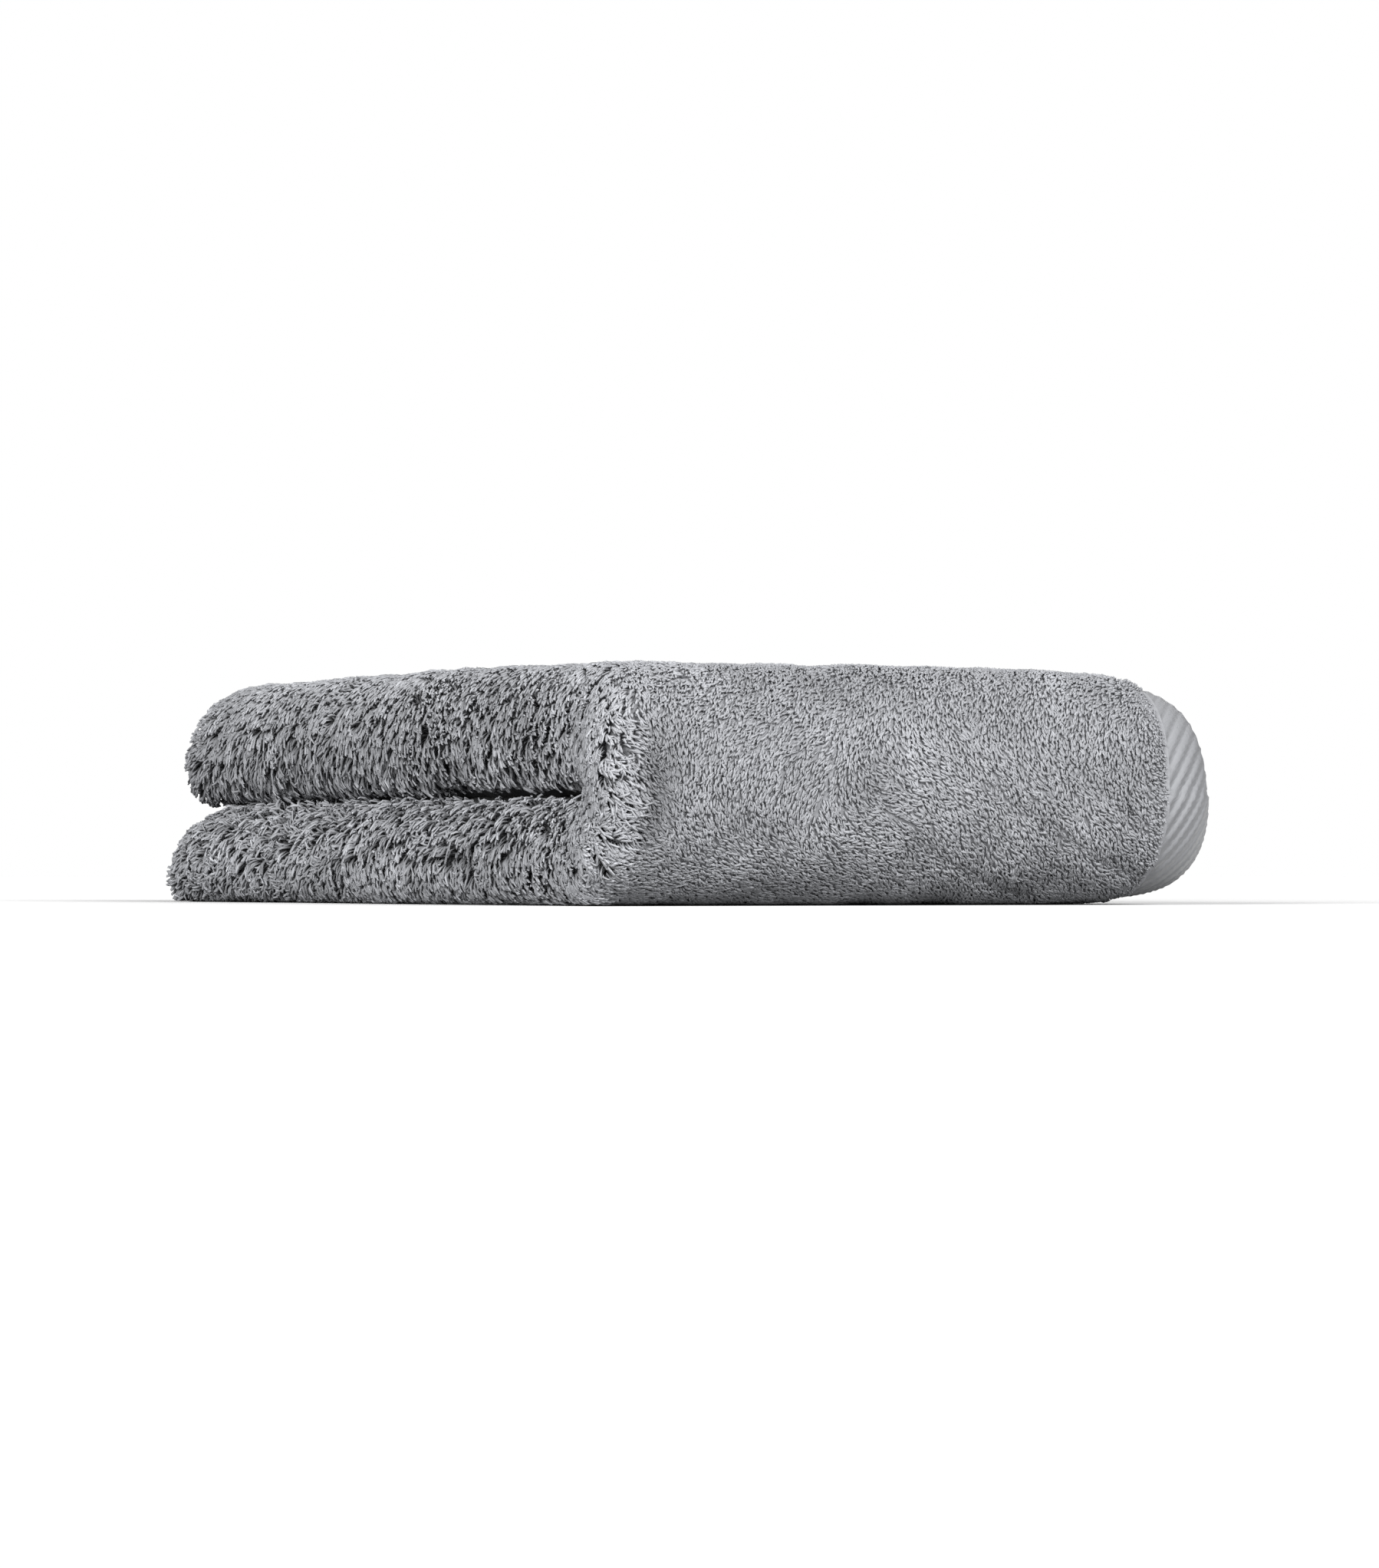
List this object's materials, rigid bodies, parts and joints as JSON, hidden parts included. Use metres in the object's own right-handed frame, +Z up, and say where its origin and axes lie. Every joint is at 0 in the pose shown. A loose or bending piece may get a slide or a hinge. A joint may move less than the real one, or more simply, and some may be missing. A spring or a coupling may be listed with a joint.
{
  "type": "folded guest towel",
  "caption": "Thick grey terry guest towel folded to a quarter, with a smooth round front fold, looped left side and woven borders curled in at the right",
  "frame": {"origin": "middle of the bounding box at the height of the flat underside", "axes": "+Z up, the round front fold faces -Y, the two side loops face -X, the woven borders are at +X and the open back edges at +Y"},
  "size_m": [0.159, 0.2516, 0.052],
  "materials": {
    "terry": "long soft cotton terry pile, mid grey, matt with a faint sheen"
  },
  "bodies": {
    "root": {"towel": "terry"}
  },
  "joints": []
}
